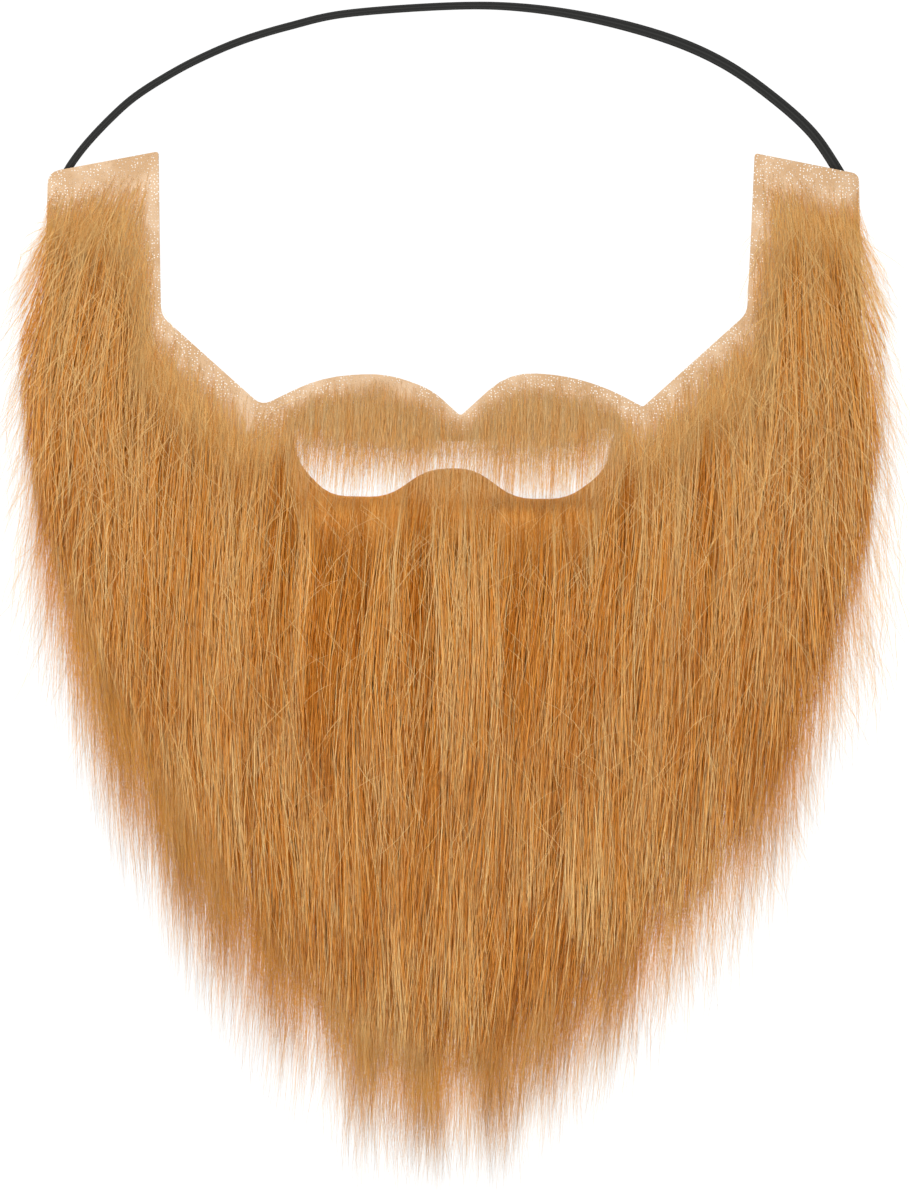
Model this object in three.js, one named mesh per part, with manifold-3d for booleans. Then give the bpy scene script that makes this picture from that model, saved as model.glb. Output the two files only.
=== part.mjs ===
// A false beard with sideburns and a moustache, worn on an elastic cord.
// It lies on its cloth back on the plane z = 0 with the hair up, and the sideburns point to +Y.
// All sizes are in millimetres. The tables count x and y from a point on the middle line, level with
// the moustache; the last lines move the whole object so that its origin is at its bottom centre.

import * as THREE from 'three';
import { mergeVertices } from 'three/addons/utils/BufferGeometryUtils.js';
import Module from 'manifold-3d';

const wasm = await Module();
wasm.setup();

// Driving sizes
const GAP = 0.3; // clearance between neighbouring pieces
const CLOTH_THICK = 1.2;
const MAT_THICK = 2.4; // the root mat that carries the locks
const BARE_TOP = 5; // strip of bare cloth under the upper edges
const BARE_SIDE = 2; // strip of bare cloth beside the upright edges
const ELASTIC = { width: 2.8, thick: 1.9, sides: 8, steps: 60 };
const TACK = { width: 5, length: 10, round: 1 }; // a folded and sewn end of the elastic

// The sideburn tops ride up over the sewn ends of the elastic.
const ARM_LIFT = ELASTIC.thick + GAP;
const LIFT_START_Y = 46;
const LIFT_END_Y = 70;

// How the hair lies: it splays outwards beside the face and gathers towards the point below.
const HAIR = { halfWidth: 148, splay: 11, gather: 9, gatherY: -110, splayY: 50 };

// Locks: sizes in plan, how unevenly the ends of neighbours fall, and the height of the underside.
// Fringe locks lie on the floor beyond the cloth; the others stand in the root mat.
const MAT_FOOT = CLOTH_THICK + 2 * GAP;
const FRINGE = { count: 44, length: 84, width: 16, ragged: 9, rootTopY: 84, shortWidth: 0.2, under: 0 };
const BODY = { length: 74, width: 23, ragged: 10, overhang: 72, under: MAT_FOOT };
const MOUSTACHE = { count: 6, rootY: 21, length: 23, width: 15, ragged: 2, under: MAT_FOOT };
const MOUSTACHE_REACH = { halfWidth: 57, lowY: 1.5 }; // the beard's fur starts outside this

const table = (columns, rows) =>
  rows.map((row) => Object.fromEntries(columns.map((column, i) => [column, row[i]])));

// Stages of a lock from root to tip: the share of its length, the share of its width, and the height
// of its crest above the floor where the cloth lies flat
const STAGE = ['along', 'wide', 'crest'];
const FRINGE_STAGES = table(STAGE, [
  [0, 0.3, 4],
  [0.25, 1, 7.5],
  [0.5, 0.95, 9],
  [0.75, 0.62, 6],
  [0.9, 0.3, 3],
  [1, 0.04, 0.8],
]);
const BODY_STAGES = table(STAGE, [
  [0, 0.7, 3.9],
  [0.35, 1, 8],
  [0.75, 0.7, 10.5],
  [1, 0.08, 5.5],
]);
const MOUSTACHE_STAGES = table(STAGE, [
  [0, 0.7, 4],
  [0.35, 1, 6.5],
  [0.7, 0.75, 6],
  [1, 0.1, 2.6],
]);

// Corners of the cloth's outline, clockwise from the left sideburn's outer top, with the length of
// straight edge that each rounding takes up on both sides of its corner
const CLOTH_OUTLINE = table(['x', 'y', 'round'], [
  [-134.7, 92.3, 4], // left sideburn
  [-97.9, 99.2, 1.2],
  [-97.3, 44.8, 3],
  [-63.7, 14.7, 3.5], // notch beside the moustache
  [-43.7, 24.4, 10],
  [-22, 25.6, 8],
  [-7, 20, 5],
  [2.5, 11.3, 1.2], // notch under the nose
  [18.7, 26, 9],
  [38, 24.8, 8],
  [52, 20.3, 6],
  [63.3, 14.3, 0.8],
  [98, 45.5, 3], // right sideburn
  [100.4, 98.6, 1.2],
  [135, 91.7, 2.5],
  [137, 3.3, 25], // lower edge, hidden under the hair
  [105.7, -80, 25],
  [44, -146.7, 25],
  [-4.3, -175, 12],
  [-51, -146.7, 25],
  [-111, -80, 25],
  [-137, 3.3, 25],
]);

const MOUTH_OUTLINE = table(['x', 'y', 'round'], [
  [-53.7, 7.3, 3], // upper edge, under the moustache
  [-24.3, 6, 10],
  [0.7, 2.3, 8],
  [25.7, 6, 10],
  [54.3, 7.3, 3],
  [51, -6.7, 6], // right lobe
  [38.3, -16.3, 6],
  [20.7, -16.3, 6],
  [6.7, -6, 6], // hump over the chin
  [-8.3, -6.3, 6],
  [-21.7, -15.7, 6], // left lobe
  [-41.3, -15.3, 6],
  [-52, -4, 6],
]);

// Where the fringe locks end, from the left sideburn round the point to the right one
const FRINGE_TIPS = table(['x', 'y'], [
  [-142, 40],
  [-145.5, 3.3],
  [-142, -36.7],
  [-133.5, -71.7],
  [-120.3, -108.3],
  [-101, -145],
  [-79.3, -175],
  [-54.3, -200],
  [-29.3, -221.7],
  [-4.3, -246.7],
  [15.7, -225],
  [34, -211.7],
  [52.3, -193.3],
  [72.3, -178.3],
  [90.7, -153.3],
  [107.3, -128.3],
  [122.3, -98.3],
  [134, -68.3],
  [143, -36.7],
  [146, -1.7],
  [144.5, 35],
]);

// Rows of broad locks that cover the cloth; a mirrored row stands on both sides of the face
const BODY_ROWS = table(['y', 'from', 'to', 'count', 'mirrored'], [
  [86, 106, 127, 2, true],
  [60, 103, 129, 3, true],
  [28, 84, 127, 3, true],
  [6, 63, 120, 4, true],
  [-10, -46, 46, 6, false],
  [-32, -122, 122, 13, false],
  [-66, -104, 104, 11, false],
  [-98, -84, 82, 9, false],
  [-128, -54, 48, 6, false],
  [-152, -22, 14, 3, false],
]);

// Middle line of the elastic, from the tack under the left sideburn to the one under the right
const ELASTIC_ROUTE = table(['x', 'y'], [
  [-130, 87],
  [-129.3, 91],
  [-127.3, 95],
  [-122, 102],
  [-114.3, 110.2],
  [-106.5, 117.2],
  [-96.8, 123.6],
  [-85.3, 129.9],
  [-70.7, 136.2],
  [-54.3, 141.2],
  [-35, 145.4],
  [0.7, 147.9],
  [24.8, 147.2],
  [49, 143.3],
  [72.3, 136.8],
  [90.7, 128.5],
  [107, 117.1],
  [119.7, 105.5],
  [128.3, 93],
  [129.8, 89.5],
  [130.3, 86.5],
]);

// Solids

const FAR = 300; // reaches past the object on every side
const TALL = 30; // reaches past it above and below
const CORNER_STEPS = 4;
const WELD = 1e-4; // corners closer than this are one corner

function toSolid(geometry) {
  geometry.deleteAttribute('normal');
  geometry.deleteAttribute('uv');
  const merged = mergeVertices(geometry, WELD);
  return new wasm.Manifold(new wasm.Mesh({
    numProp: 3,
    vertProperties: Float32Array.from(merged.attributes.position.array),
    triVerts: Uint32Array.from(merged.index.array),
  }));
}

function toGeometry(solid) {
  const { vertProperties, triVerts } = solid.getMesh();
  const geometry = new THREE.BufferGeometry();
  geometry.setAttribute('position', new THREE.BufferAttribute(vertProperties, 3));
  geometry.setIndex(new THREE.BufferAttribute(triVerts, 1));
  geometry.computeVertexNormals();
  return geometry;
}

const joined = (solids) => solids.reduce((whole, solid) => whole.add(solid));

// Follows straight edges between the corners and rounds each corner with one curve.
function roundedLoop(corners, loop) {
  corners.forEach((row, i) => {
    const corner = new THREE.Vector2(row.x, row.y);
    const towards = (other) =>
      new THREE.Vector2(other.x, other.y).sub(corner).setLength(row.round).add(corner);
    const start = towards(corners.at(i - 1));
    const end = towards(corners[(i + 1) % corners.length]);
    if (i === 0) loop.moveTo(start.x, start.y);
    else loop.lineTo(start.x, start.y);
    loop.quadraticCurveTo(corner.x, corner.y, end.x, end.y);
  });
  loop.closePath();
  return loop;
}

// The same loop moved outwards by a small clearance
function widened(corners, clearance) {
  const points = roundedLoop(corners, new THREE.Shape()).getPoints(CORNER_STEPS);
  if (points[0].equals(points.at(-1))) points.pop();
  const moved = points.map((point, i) => {
    const along = points[(i + 1) % points.length].clone().sub(points.at(i - 1)).normalize();
    return new THREE.Vector2(-along.y, along.x).multiplyScalar(clearance).add(point);
  });
  return new THREE.Shape(moved);
}

function prism(shape, low = -TALL, high = TALL) {
  const geometry = new THREE.ExtrudeGeometry(shape, {
    depth: high - low,
    bevelEnabled: false,
    curveSegments: CORNER_STEPS,
  });
  return toSolid(geometry.translate(0, 0, low));
}

function box(x0, x1, y0, y1) {
  const geometry = new THREE.BoxGeometry(x1 - x0, y1 - y0, 2 * TALL);
  return toSolid(geometry.translate((x0 + x1) / 2, (y0 + y1) / 2, 0));
}

// How far the cloth is lifted off the floor
function lift(y) {
  return ARM_LIFT * THREE.MathUtils.clamp((y - LIFT_START_Y) / (LIFT_END_Y - LIFT_START_Y), 0, 1);
}

// A layer over the whole plan, between two heights above the underside of the cloth
function layer(low, high) {
  const bends = [-FAR, LIFT_START_Y, LIFT_END_Y, FAR];
  const lower = bends.map((y) => new THREE.Vector2(y, lift(y) + low));
  const upper = bends.map((y) => new THREE.Vector2(y, lift(y) + high)).reverse();
  const geometry = new THREE.ExtrudeGeometry(new THREE.Shape([...lower, ...upper]), {
    depth: 2 * FAR,
    bevelEnabled: false,
  });
  const [x, y, z] = [[1, 0, 0], [0, 1, 0], [0, 0, 1]].map((axis) => new THREE.Vector3(...axis));
  geometry.applyMatrix4(new THREE.Matrix4().makeBasis(y, z, x));
  return toSolid(geometry.translate(-FAR, 0, 0));
}

// Hair

// The way the hair lies at a place, as a unit vector in plan
function hairWay(x, y) {
  const side = THREE.MathUtils.clamp(x / HAIR.halfWidth, -1, 1);
  const high = THREE.MathUtils.smoothstep(y, HAIR.gatherY, HAIR.splayY);
  const lean = THREE.MathUtils.degToRad(side * (HAIR.splay * high - HAIR.gather * (1 - high)));
  return new THREE.Vector2(Math.sin(lean), -Math.cos(lean));
}

// Walks along the hair, or against it for a negative length, and lists the places on the way.
function walk(start, length, steps) {
  const places = [start];
  for (let i = 0; i < steps; i += 1) {
    const at = places.at(-1);
    places.push(at.clone().addScaledVector(hairWay(at.x, at.y), length / steps));
  }
  return places;
}

// One lock: flat below, ridged above, wide in the middle and pointed at its tip
const LOCK_STEPS = 20;
const LOCK_SIDES = 5;
const SHOULDER = { out: 0.78, up: 0.62 };

function lock(places, width, under, stages) {
  const positions = [];
  stages.forEach(({ along, wide, crest }) => {
    const i = Math.round(along * LOCK_STEPS);
    const ahead = places[Math.min(i + 1, LOCK_STEPS)].clone();
    const way = ahead.sub(places[Math.max(i - 1, 0)]).normalize();
    const across = new THREE.Vector2(-way.y, way.x);
    const half = (wide * width) / 2;
    const top = crest + lift(places[i].y);
    const shoulder = under + (top - under) * SHOULDER.up;
    const section = [
      [-half, under],
      [half, under],
      [half * SHOULDER.out, shoulder],
      [0, top],
      [-half * SHOULDER.out, shoulder],
    ];
    section.forEach(([side, z]) => {
      const at = places[i].clone().addScaledVector(across, side);
      positions.push(at.x, at.y, z);
    });
  });
  const faces = [];
  for (let stage = 1; stage < stages.length; stage += 1) {
    for (let side = 0; side < LOCK_SIDES; side += 1) {
      const a = (stage - 1) * LOCK_SIDES + side;
      const b = (stage - 1) * LOCK_SIDES + ((side + 1) % LOCK_SIDES);
      faces.push(a, b, b + LOCK_SIDES, a, b + LOCK_SIDES, a + LOCK_SIDES);
    }
  }
  const last = (stages.length - 1) * LOCK_SIDES;
  for (let side = 1; side < LOCK_SIDES - 1; side += 1) {
    faces.push(0, side + 1, side, last, last + side, last + side + 1);
  }
  const geometry = new THREE.BufferGeometry();
  geometry.setAttribute('position', new THREE.Float32BufferAttribute(positions, 3));
  geometry.setIndex(faces);
  return toSolid(geometry);
}

// A fixed uneven number between -1 and 1 for the lock with this number
const UNEVEN_TURN = 2.4; // radians from one lock to the next, so that neighbours differ
const uneven = (i) => Math.sin(i * UNEVEN_TURN);

function fringeLocks() {
  const line = new THREE.CatmullRomCurve3(FRINGE_TIPS.map(({ x, y }) => new THREE.Vector3(x, y, 0)));
  return line.getSpacedPoints(FRINGE.count - 1).map((point, i) => {
    const tip = new THREE.Vector2(point.x, point.y);
    tip.addScaledVector(hairWay(tip.x, tip.y), -FRINGE.ragged * (i % 2));
    const length = Math.min(FRINGE.length, FRINGE.rootTopY - tip.y);
    const width = FRINGE.width * Math.min(1, length / FRINGE.length + FRINGE.shortWidth);
    return lock(walk(tip, -length, LOCK_STEPS).reverse(), width, FRINGE.under, FRINGE_STAGES);
  });
}

function bodyLocks() {
  const roots = BODY_ROWS.flatMap(({ y, from, to, count, mirrored }) => {
    const row = Array.from({ length: count }, (_, i) => from + ((to - from) * i) / (count - 1));
    return [...row, ...(mirrored ? row.map((x) => -x) : [])].map((x) => new THREE.Vector2(x, y));
  });
  return roots.map((root, i) => {
    const length = BODY.length + BODY.ragged * uneven(i);
    return lock(walk(root, length, LOCK_STEPS), BODY.width, BODY.under, BODY_STAGES);
  });
}

function moustacheLocks() {
  const spread = MOUSTACHE_REACH.halfWidth - MOUSTACHE.width / 2;
  return [-1, 1].flatMap((side) =>
    Array.from({ length: MOUSTACHE.count }, (_, i) => {
      const x = side * spread * ((i + 0.5) / MOUSTACHE.count);
      const length = MOUSTACHE.length + MOUSTACHE.ragged * uneven(i);
      const places = walk(new THREE.Vector2(x, MOUSTACHE.rootY), length, LOCK_STEPS);
      return lock(places, MOUSTACHE.width, MOUSTACHE.under, MOUSTACHE_STAGES);
    }));
}

// Pieces

const clothPlan = prism(roundedLoop(CLOTH_OUTLINE, new THREE.Shape()));
const mouth = prism(roundedLoop(MOUTH_OUTLINE, new THREE.Shape()));

// The fur stops short of the upper and upright edges, and reaches the lower edge.
const furPlan = clothPlan
  .intersect(clothPlan.translate([-BARE_SIDE, -BARE_TOP, 0]))
  .intersect(clothPlan.translate([BARE_SIDE, -BARE_TOP, 0]));
const furLayer = layer(CLOTH_THICK + GAP, CLOTH_THICK + GAP + MAT_THICK);

function moustacheReach(clearance) {
  const { halfWidth, lowY } = MOUSTACHE_REACH;
  return box(-halfWidth - clearance, halfWidth + clearance, lowY - clearance, FAR);
}

const backingCloth = () => clothPlan.intersect(layer(0, CLOTH_THICK)).subtract(mouth);

// Room for the cloth, with a clearance round it
const clothRoom = prism(widened(CLOTH_OUTLINE, GAP)).intersect(layer(-TALL, CLOTH_THICK + GAP));

function beardFur() {
  const covered = furPlan.add(furPlan.translate([0, -BODY.overhang, 0]));
  const locks = joined(bodyLocks()).intersect(covered).add(joined(fringeLocks()));
  return furPlan
    .intersect(furLayer)
    .add(locks)
    .subtract(moustacheReach(GAP))
    .subtract(mouth)
    .subtract(clothRoom);
}

function moustacheFur() {
  const mat = furPlan.intersect(furLayer).subtract(mouth);
  const locks = joined(moustacheLocks()).intersect(furPlan);
  return mat.intersect(moustacheReach(0)).add(locks).subtract(clothRoom);
}

function elasticCord() {
  const { width, thick, sides, steps } = ELASTIC;
  const points = ELASTIC_ROUTE.map(({ x, y }) => new THREE.Vector3(x, y, thick / 2));
  const corner = 1 / (2 * Math.cos(Math.PI / sides)); // so that the flats lie at the full size
  const section = new THREE.Shape(Array.from({ length: sides }, (_, i) => {
    const turn = ((2 * i + 1) * Math.PI) / sides;
    return new THREE.Vector2(thick * corner * Math.cos(turn), width * corner * Math.sin(turn));
  }));
  return toSolid(new THREE.ExtrudeGeometry(section, {
    steps,
    bevelEnabled: false,
    extrudePath: new THREE.CatmullRomCurve3(points),
  }));
}

// Lies flat under the cloth, just past the end of the elastic.
function elasticTack(end) {
  const half = TACK.width / 2;
  const [top, low] = [end.y - GAP, end.y - GAP - TACK.length];
  const corners = table(['x', 'y', 'round'], [
    [end.x - half, top, TACK.round],
    [end.x + half, top, TACK.round],
    [end.x + half, low, TACK.round],
    [end.x - half, low, TACK.round],
  ]);
  return prism(roundedLoop(corners, new THREE.Shape()), 0, ELASTIC.thick);
}

// The object

const finish = (color, roughness) => new THREE.MeshStandardMaterial({ color, roughness, metalness: 0 });

const pieces = [
  ['backing_cloth', backingCloth(), finish(0xe6c49c, 0.9)],
  ['beard_fur', beardFur(), finish(0xb97c42, 0.55)],
  ['moustache_fur', moustacheFur(), finish(0xc6925b, 0.55)],
  ['elastic_cord', elasticCord(), finish(0x343432, 0.8)],
  ['left_elastic_tack', elasticTack(ELASTIC_ROUTE[0]), finish(0x2c2c2a, 0.85)],
  ['right_elastic_tack', elasticTack(ELASTIC_ROUTE.at(-1)), finish(0x2c2c2a, 0.85)],
];

const falseBeard = new THREE.Group();
for (const [name, solid, material] of pieces) {
  const mesh = new THREE.Mesh(toGeometry(solid), material);
  mesh.name = name;
  falseBeard.add(mesh);
}

// The origin is under the middle of the beard, leaving the loose elastic out of the count.
const extent = new THREE.Box3();
falseBeard.children
  .filter((mesh) => mesh.name !== 'elastic_cord')
  .forEach((mesh) => extent.expandByObject(mesh));
const middle = extent.getCenter(new THREE.Vector3());
falseBeard.position.set(-middle.x, -middle.y, -extent.min.z);

export default falseBeard;
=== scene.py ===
# %% [markdown]
# # A false beard on an elastic cord
# A costume beard is a piece of long-pile fake fur that is cut to the shape of a face. The hair grows
# from a knitted cloth, a window is cut for the mouth, and a thin elastic goes round the head. It lies
# on its cloth back with the hair up, and it is seen from straight above.
#
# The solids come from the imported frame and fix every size. This lesson dresses them: it makes the
# camera, the elastic, the cloth, the hair, the finishes and the light, in that order.

import bpy
import numpy as np
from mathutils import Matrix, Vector


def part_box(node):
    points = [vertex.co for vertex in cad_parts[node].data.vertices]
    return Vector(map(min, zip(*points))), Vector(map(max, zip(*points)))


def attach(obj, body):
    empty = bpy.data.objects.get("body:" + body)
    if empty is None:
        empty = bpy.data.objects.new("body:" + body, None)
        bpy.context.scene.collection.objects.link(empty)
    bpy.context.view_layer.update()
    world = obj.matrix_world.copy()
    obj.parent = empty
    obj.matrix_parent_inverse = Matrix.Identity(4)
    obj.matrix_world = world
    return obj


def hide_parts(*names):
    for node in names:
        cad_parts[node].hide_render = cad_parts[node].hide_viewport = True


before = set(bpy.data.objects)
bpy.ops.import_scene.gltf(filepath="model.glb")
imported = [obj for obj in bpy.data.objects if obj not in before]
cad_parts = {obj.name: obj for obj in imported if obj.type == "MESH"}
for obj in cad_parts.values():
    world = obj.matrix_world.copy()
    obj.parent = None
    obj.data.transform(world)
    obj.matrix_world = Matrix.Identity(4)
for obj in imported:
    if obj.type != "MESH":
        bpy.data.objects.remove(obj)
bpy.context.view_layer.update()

MM = 0.001
scene = bpy.context.scene
print("solids:", ", ".join(sorted(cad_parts)))

# %% [markdown]
# ## Camera
# The photograph shows the beard flat, from above, with no visible perspective. A long lens far away
# gives that look. An orthographic camera would too, but a long lens keeps the other views natural.

# %% Camera
LENS = 130
SENSOR = 36
VIEW_HEIGHT = 400 * MM
VIEW_MIDDLE = (0.2 * MM, 21.8 * MM)

camera_data = bpy.data.cameras.new("camera")
camera_data.lens = LENS
camera_data.sensor_width = SENSOR
camera = bpy.data.objects.new("camera", camera_data)
camera.location = (*VIEW_MIDDLE, VIEW_HEIGHT * LENS / SENSOR)
scene.collection.objects.link(camera)
scene.camera = camera
print(f"camera {camera.location.z:.2f} m above the floor")

# %% [markdown]
# ## Meshes from arrays
# The elastic is one tube with a fine ribbed section, and the hair is tens of thousands of thin tubes.
# Both are quicker and more exact as lists of points and corners than as shapes pushed about by hand,
# so one helper turns such lists into an object with smooth faces and its own maps.

# %% Mesh helper
CURVE_STEPS = 16


def object_from_lists(name, points, corners, sizes, maps):
    """A mesh object from points, the corners of its faces, each face's size and its UV maps."""
    mesh = bpy.data.meshes.new(name)
    mesh.vertices.add(len(points))
    mesh.vertices.foreach_set("co", np.asarray(points, np.float32).ravel())
    mesh.loops.add(len(corners))
    mesh.loops.foreach_set("vertex_index", np.asarray(corners, np.int32))
    mesh.polygons.add(len(sizes))
    starts = np.concatenate(([0], np.cumsum(sizes)[:-1]))
    mesh.polygons.foreach_set("loop_start", starts.astype(np.int32))
    mesh.update(calc_edges=True)
    for map_name, places in maps.items():
        layer = mesh.uv_layers.new(name=map_name)
        layer.data.foreach_set("uv", np.asarray(places, np.float32).ravel())
    mesh.shade_smooth()
    piece = bpy.data.objects.new(name, mesh)
    scene.collection.objects.link(piece)
    return piece


def triangle_count(piece):
    piece.data.calc_loop_triangles()
    return len(piece.data.loop_triangles)


def smooth_line(points, spacing):
    """Even places on a Catmull-Rom curve through the points."""
    points = np.asarray(points, float)
    padded = np.vstack([2 * points[0] - points[1], points, 2 * points[-1] - points[-2]])
    share = np.linspace(0, 1, CURVE_STEPS, endpoint=False)[:, None]
    spans = []
    for a, b, c, d in zip(padded, padded[1:], padded[2:], padded[3:]):
        bend = 2 * a - 5 * b + 4 * c - d
        twist = 3 * (b - c) + d - a
        spans.append(b + 0.5 * share * (c - a + share * (bend + share * twist)))
    line = np.vstack([*spans, points[-1:]])
    walked = np.concatenate(([0], np.cumsum(np.linalg.norm(np.diff(line, axis=0), axis=1))))
    stops = np.linspace(0, walked[-1], round(walked[-1] / spacing) + 1)
    return np.stack([np.interp(stops, walked, column) for column in line.T], axis=1)


# %% [markdown]
# ## Elastic
# The elastic is a narrow black braid, about 2.8 mm wide, that runs from sideburn to sideburn. It lies
# on the floor in one wide arc and goes under the cloth at both ends, where it is sewn on. A curve with
# a round bevel would do for a plain cord; here a flat oval section with lengthwise ribs is swept along
# the same route, because the ribs are what make it look like elastic. The braid turns a little on its
# way, so its right half shows more of its width than its left half.

# %% Elastic route, in metres
ELASTIC_ROUTE = [
    (-0.1305, 0.1588), (-0.1298, 0.1628), (-0.1278, 0.1668), (-0.1225, 0.1738), (-0.1148, 0.1820),
    (-0.1070, 0.1890), (-0.0973, 0.1954), (-0.0858, 0.2017), (-0.0712, 0.2080), (-0.0548, 0.2130),
    (-0.0355, 0.2172), (0.0002, 0.2197), (0.0243, 0.2190), (0.0485, 0.2151), (0.0718, 0.2086),
    (0.0902, 0.2003), (0.1065, 0.1889), (0.1192, 0.1773), (0.1278, 0.1648), (0.1293, 0.1613),
    (0.1298, 0.1583),
]
ELASTIC_THICK = 1.9 * MM
ELASTIC_SPACING = 2.0 * MM

route = smooth_line(ELASTIC_ROUTE, ELASTIC_SPACING)
elastic_path = np.column_stack([route, np.full(len(route), ELASTIC_THICK / 2)])


# %% Ribbed section and sweep
RIB_COUNT = 8
RIB_DEPTH = 0.12
RING_CORNERS = 40
TWIST = {"narrow": 2.6 * MM, "wide": 3.6 * MM, "from": 0.5, "to": 0.75}


def smooth_step(values, low, high):
    """Rises smoothly from 0 to 1 between two values."""
    share = np.clip((values - low) / (high - low), 0, 1)
    return share * share * (3 - 2 * share)


def ribbed_rings(widths, thick):
    """Ovals with lengthwise ribs, one for each width, as offsets to the side and up."""
    turn = np.linspace(0, 2 * np.pi, RING_CORNERS, endpoint=False)
    swell = 1 - RIB_DEPTH * (0.5 - 0.5 * np.cos(RIB_COUNT * turn))
    beside = np.asarray(widths)[:, None] / 2 * np.cos(turn) * swell
    return np.stack([beside, np.broadcast_to(thick / 2 * np.sin(turn) * swell, beside.shape)], axis=-1)


def sweep(name, path, sideways, offsets):
    """Puts a ring at each place of a path and closes both ends; its map counts turns and millimetres."""
    along = np.gradient(path, axis=0)
    along /= np.linalg.norm(along, axis=1, keepdims=True)
    upwards = np.cross(sideways, along)
    rings = (path[:, None]
             + offsets[..., :1] * sideways[:, None]
             + offsets[..., 1:] * upwards[:, None])
    count, corners = rings.shape[:2]
    here = np.arange(corners)
    following = (here + 1) % corners
    quads = np.stack([here, following, following + corners, here + corners], axis=1)
    quads = (quads[None] + corners * np.arange(count - 1)[:, None, None]).reshape(-1)
    ends = np.concatenate([here[::-1], here + corners * (count - 1)])
    sizes = np.concatenate([np.full((count - 1) * corners, 4), [corners, corners]])
    walked = np.concatenate(([0], np.cumsum(np.linalg.norm(np.diff(path, axis=0), axis=1)))) / MM
    turn = np.stack([here, here + 1, here + 1, here], axis=1) / corners
    turn = np.broadcast_to(turn, (count - 1, corners, 4))
    length = np.stack([walked[:-1], walked[:-1], walked[1:], walked[1:]], axis=1)
    length = np.broadcast_to(length[:, None], (count - 1, corners, 4))
    braid = np.stack([turn, length], axis=-1).reshape(-1, 2)
    cap = np.column_stack([here / corners, np.zeros(corners)])
    braid = np.vstack([braid, cap, cap])
    return object_from_lists(name, rings.reshape(-1, 3), np.concatenate([quads, ends]), sizes,
                             {"braid": braid})


ways = np.gradient(elastic_path, axis=0)
across = np.cross(ways, (0, 0, 1))
across /= np.linalg.norm(across, axis=1, keepdims=True)
turned = smooth_step(np.linspace(0, 1, len(route)), TWIST["from"], TWIST["to"])
widths = TWIST["narrow"] + (TWIST["wide"] - TWIST["narrow"]) * turned
elastic = sweep("elastic_braid", elastic_path, -across, ribbed_rings(widths, ELASTIC_THICK))
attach(elastic, "root")
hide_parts("elastic_cord")
print(f"elastic: {triangle_count(elastic)} triangles")

# %% [markdown]
# ## Sewn ends
# Under each sideburn the elastic is folded back on itself and sewn to the cloth. Nobody sees these
# ends from above, but they lift the cloth and show from low down. Each one is the same braid, thinner,
# swept round a short fold.

# %% Sewn ends
FOLD_GAP = 0.06 * MM
FOLD_STEPS = 9
RUN_STEPS = 8


def sewn_end(name, node):
    low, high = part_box(node)
    thick = (high.z - low.z - FOLD_GAP) / 2
    x = (low.x + high.x) / 2
    turn = np.linspace(-0.5 * np.pi, 0.5 * np.pi, FOLD_STEPS)[1:-1]
    radius = (thick + FOLD_GAP) / 2
    middle = (low.z + high.z) / 2
    bottom = low.y + radius + thick / 2
    runs = np.linspace(high.y, bottom, RUN_STEPS)
    fold = [(x, y, middle - radius) for y in runs]
    fold += [(x, bottom - radius * np.cos(a), middle + radius * np.sin(a)) for a in turn]
    fold += [(x, y, middle + radius) for y in runs[::-1]]
    fold = np.array(fold)
    sideways = np.tile((1.0, 0.0, 0.0), (len(fold), 1))
    end = sweep(name, fold, sideways, ribbed_rings(np.full(len(fold), high.x - low.x), thick))
    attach(end, "root")
    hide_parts(node)
    return end


sewn_ends = [sewn_end("left_sewn_end", "left_elastic_tack"),
             sewn_end("right_sewn_end", "right_elastic_tack")]
print("sewn ends:", [triangle_count(end) for end in sewn_ends], "triangles")

# %% [markdown]
# ## Cloth
# The ground of the fur is a peach-coloured knit, cut with scissors, so its edges are raw and a little
# soft. The solid has the right cut already. A copy of it is merged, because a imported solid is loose
# triangles, and a small bevel takes the hardness off the edge.

# %% Cloth
EDGE_SOFTNESS = 0.35 * MM
EDGE_ANGLE = np.radians(50)
MERGE_DISTANCE = 0.01 * MM

solid_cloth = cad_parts["backing_cloth"]
cloth = bpy.data.objects.new("knitted_ground", solid_cloth.data.copy())
scene.collection.objects.link(cloth)
bpy.ops.object.select_all(action="DESELECT")
bpy.context.view_layer.objects.active = cloth
cloth.select_set(True)
bpy.ops.object.mode_set(mode="EDIT")
bpy.ops.mesh.select_all(action="SELECT")
bpy.ops.mesh.remove_doubles(threshold=MERGE_DISTANCE)
bpy.ops.object.mode_set(mode="OBJECT")
soft_edge = cloth.modifiers.new("soft edge", "BEVEL")
soft_edge.width = EDGE_SOFTNESS
soft_edge.segments = 2
soft_edge.limit_method = "ANGLE"
soft_edge.angle_limit = EDGE_ANGLE
bpy.ops.object.modifier_apply(modifier=soft_edge.name)
bpy.ops.object.shade_smooth_by_angle(angle=EDGE_ANGLE)
print(f"cloth: {triangle_count(cloth)} triangles")


# %% [markdown]
# ## Where the cloth is
# The hair has to know the cut of the cloth: roots stand inside it, and strands drop to the floor
# beyond it. The cut is read from the solid itself. The rim of its upper face gives the edges, and a
# point is inside if a line from it crosses them an odd number of times.

# %% Cut of the cloth
FACING_UP = 0.5
PLACE_DECIMALS = 6
SHORTEST_EDGE = 1e-6
SQUARE_CM = 1e-4


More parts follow.
